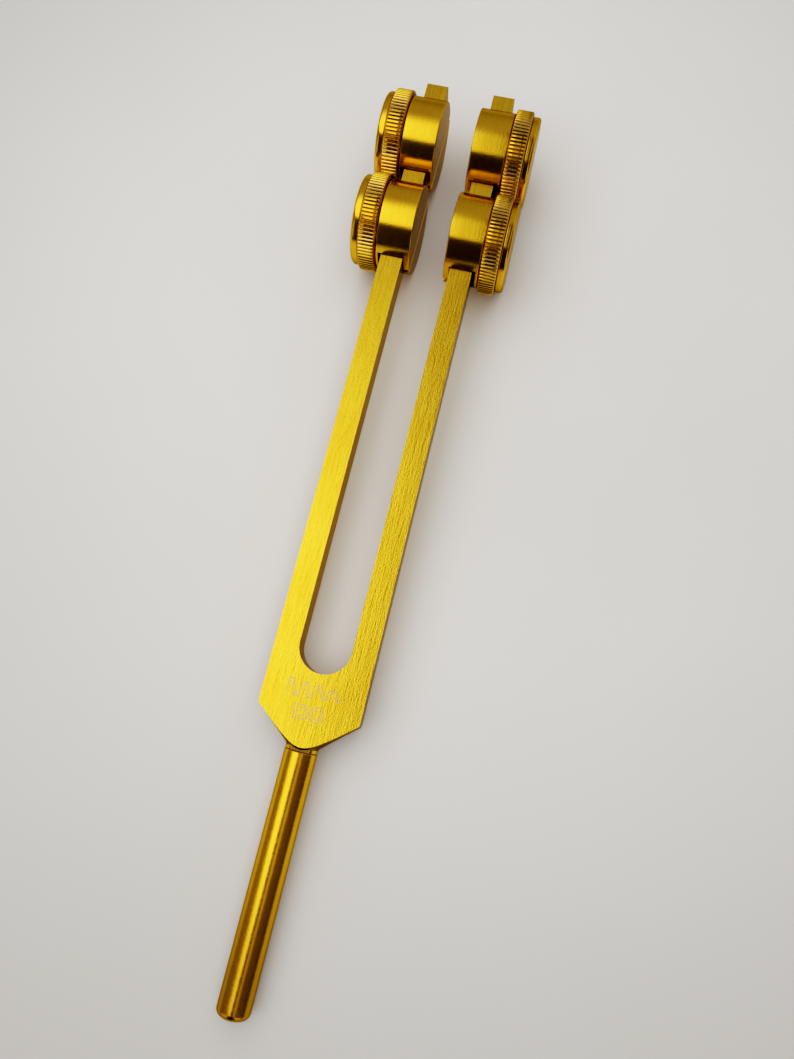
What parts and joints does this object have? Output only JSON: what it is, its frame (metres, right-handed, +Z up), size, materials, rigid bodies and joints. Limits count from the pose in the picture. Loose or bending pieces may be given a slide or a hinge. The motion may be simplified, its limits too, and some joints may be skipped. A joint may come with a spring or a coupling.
{
  "type": "weighted tuning fork",
  "caption": "Gold-anodised weighted tuning fork: slotted flat bar, turned shoulder, round stem, and knurled thumb-wheel clamp weights that slide on the tines.",
  "frame": {"origin": "centre of the bounding box's bottom face, on the table plane the fork lies on", "axes": "+Y from the stem's foot towards the tine tips, +X across the tines to the right as seen from above with the tips away, +Z up; the fork's own axis is pitched up 2.56 degrees about X, as it lies on its foot and its two lower knurled wheels"},
  "size_m": [0.0432, 0.2476, 0.0274],
  "materials": {
    "brushed_gold": "satin, brushed along its length, anodised",
    "polished_gold": "bright turned, anodised",
    "turned_gold": "fine turned, anodised",
    "knurled_gold": "straight knurl, anodised",
    "cover_gold": "bright turned, anodised",
    "screw_steel": "machined",
    "pad_brass": "machined"
  },
  "bodies": {
    "fork": {"fork_body": "brushed_gold", "stem": "polished_gold"},
    "left_lower_weight": {"left_lower_clamp_body": "turned_gold"},
    "left_lower_pad": {"left_lower_pressure_pad": "pad_brass"},
    "left_lower_wheel": {"left_lower_knurled_wheel": "knurled_gold", "left_lower_cover_disc": "cover_gold", "left_lower_clamp_screw": "screw_steel"},
    "left_upper_weight": {"left_upper_clamp_body": "turned_gold"},
    "left_upper_pad": {"left_upper_pressure_pad": "pad_brass"},
    "left_upper_wheel": {"left_upper_knurled_wheel": "knurled_gold", "left_upper_cover_disc": "cover_gold", "left_upper_clamp_screw": "screw_steel"},
    "right_lower_weight": {"right_lower_clamp_body": "turned_gold"},
    "right_lower_pad": {"right_lower_pressure_pad": "pad_brass"},
    "right_lower_wheel": {"right_lower_knurled_wheel": "knurled_gold", "right_lower_cover_disc": "cover_gold", "right_lower_clamp_screw": "screw_steel"},
    "right_upper_weight": {"right_upper_clamp_body": "turned_gold"},
    "right_upper_pad": {"right_upper_pressure_pad": "pad_brass"},
    "right_upper_wheel": {"right_upper_knurled_wheel": "knurled_gold", "right_upper_cover_disc": "cover_gold", "right_upper_clamp_screw": "screw_steel"}
  },
  "joints": [
    {"name": "left_lower_weight_slide", "type": "slide", "parent": "fork", "child": "left_lower_weight", "axis": [0, 0.999, 0.0447], "range_m": [-0.1, 0]},
    {"name": "left_lower_pad_travel", "type": "slide", "parent": "left_lower_weight", "child": "left_lower_pad", "axis": [-1, 0, 0], "range_m": [0, 0.0008]},
    {"name": "left_lower_wheel_turn", "type": "hinge", "parent": "left_lower_pad", "child": "left_lower_wheel", "pos_m": [-0.017, 0.0797, 0.0131], "axis": [-1, 0, 0], "range_deg": [0, 360]},
    {"name": "left_upper_weight_slide", "type": "slide", "parent": "fork", "child": "left_upper_weight", "axis": [0, 0.999, 0.0447], "range_m": [0, 0.02]},
    {"name": "left_upper_pad_travel", "type": "slide", "parent": "left_upper_weight", "child": "left_upper_pad", "axis": [-1, 0, 0], "range_m": [0, 0.0008]},
    {"name": "left_upper_wheel_turn", "type": "hinge", "parent": "left_upper_pad", "child": "left_upper_wheel", "pos_m": [-0.017, 0.10667, 0.01431], "axis": [-1, 0, 0], "range_deg": [0, 360]},
    {"name": "right_lower_weight_slide", "type": "slide", "parent": "fork", "child": "right_lower_weight", "axis": [0, 0.999, 0.0447], "range_m": [-0.1, 0]},
    {"name": "right_lower_pad_travel", "type": "slide", "parent": "right_lower_weight", "child": "right_lower_pad", "axis": [1, 0, 0], "range_m": [0, 0.0008]},
    {"name": "right_lower_wheel_turn", "type": "hinge", "parent": "right_lower_pad", "child": "right_lower_wheel", "pos_m": [0.017, 0.0797, 0.0131], "axis": [1, 0, 0], "range_deg": [0, 360]},
    {"name": "right_upper_weight_slide", "type": "slide", "parent": "fork", "child": "right_upper_weight", "axis": [0, 0.999, 0.0447], "range_m": [0, 0.02]},
    {"name": "right_upper_pad_travel", "type": "slide", "parent": "right_upper_weight", "child": "right_upper_pad", "axis": [1, 0, 0], "range_m": [0, 0.0008]},
    {"name": "right_upper_wheel_turn", "type": "hinge", "parent": "right_upper_pad", "child": "right_upper_wheel", "pos_m": [0.017, 0.10667, 0.01431], "axis": [1, 0, 0], "range_deg": [0, 360]}
  ],
  "couplings": [
    {"joint": "left_lower_pad_travel", "follows": "left_lower_wheel_turn", "m_per_rad": 0.0001273},
    {"joint": "left_upper_pad_travel", "follows": "left_upper_wheel_turn", "m_per_rad": 0.0001273},
    {"joint": "right_lower_pad_travel", "follows": "right_lower_wheel_turn", "m_per_rad": 0.0001273},
    {"joint": "right_upper_pad_travel", "follows": "right_upper_wheel_turn", "m_per_rad": 0.0001273}
  ]
}
